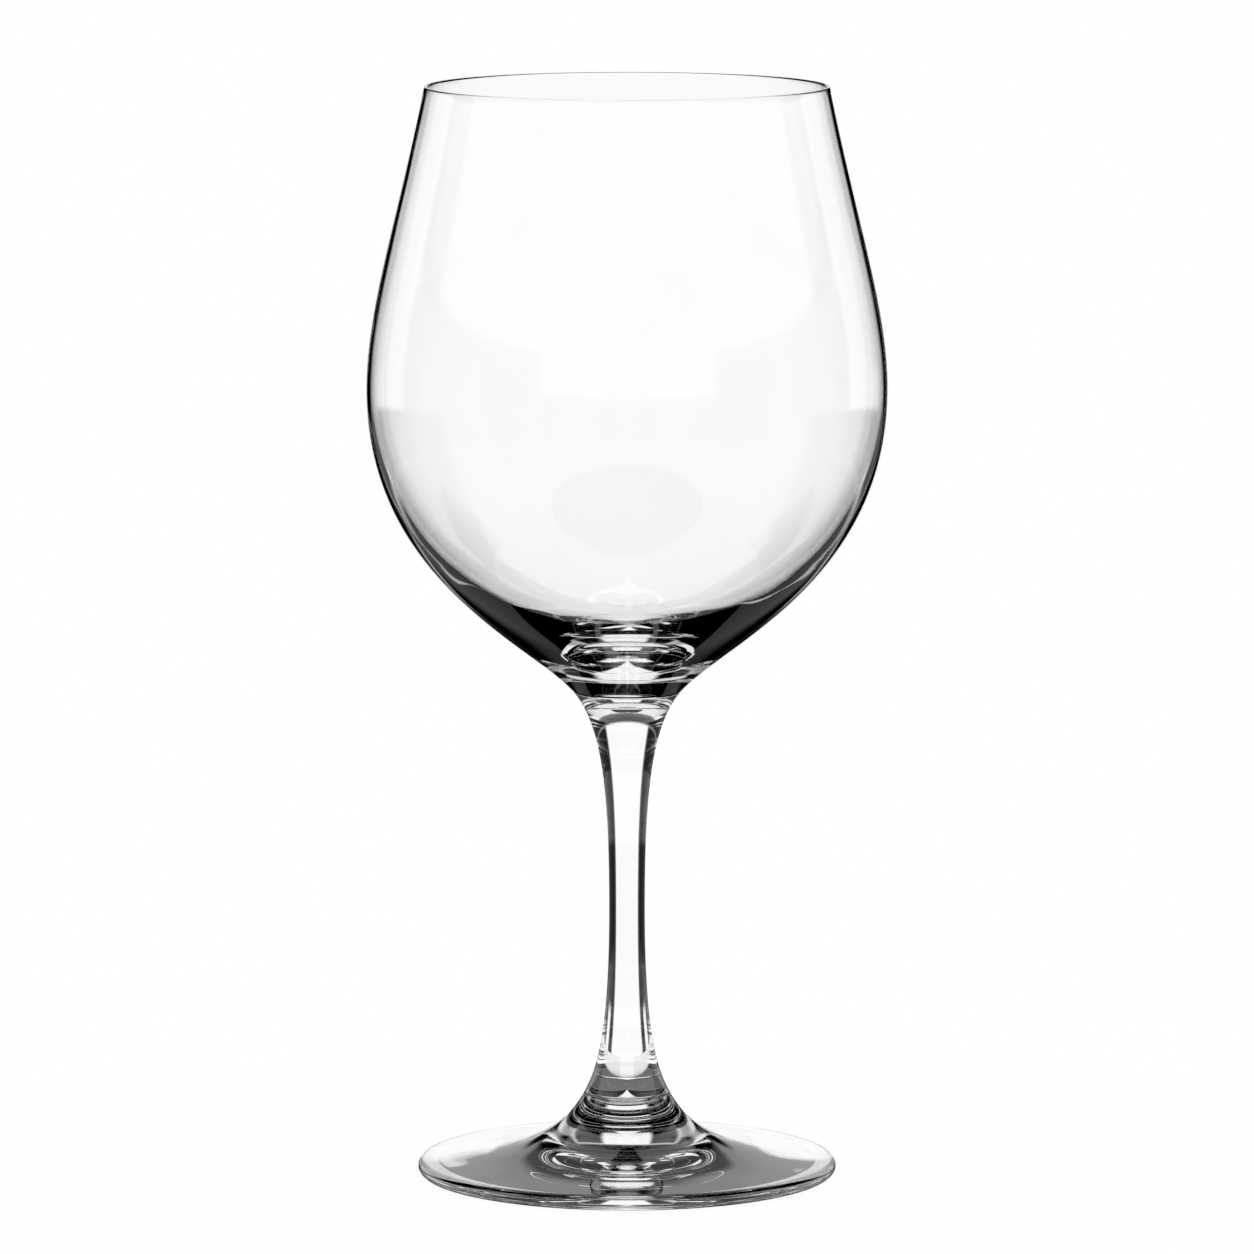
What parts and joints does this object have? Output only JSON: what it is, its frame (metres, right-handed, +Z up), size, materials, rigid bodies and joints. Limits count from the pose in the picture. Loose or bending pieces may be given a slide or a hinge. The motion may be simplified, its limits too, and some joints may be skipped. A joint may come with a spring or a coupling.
{
  "type": "wine glass",
  "caption": "Stemmed wine glass of clear glass, with a large round bowl that narrows to a thin rim, a solid tapering base, a slender flared stem and a wide round foot.",
  "frame": {"origin": "centre of the flat ring under the foot, on the surface that the glass stands on", "axes": "+Z up along the glass's axis of symmetry, from the foot to the rim; X and Y are any two directions square to it, because the glass is round"},
  "size_m": [0.1102, 0.1102, 0.232],
  "materials": {
    "bowl_glass": "clear, blown, fire-polished at the rim",
    "stem_glass": "clear, drawn while hot",
    "foot_glass": "clear, pressed, with a fire-polished edge"
  },
  "bodies": {
    "root": {"bowl": "bowl_glass", "stem": "stem_glass", "foot": "foot_glass"}
  },
  "joints": []
}
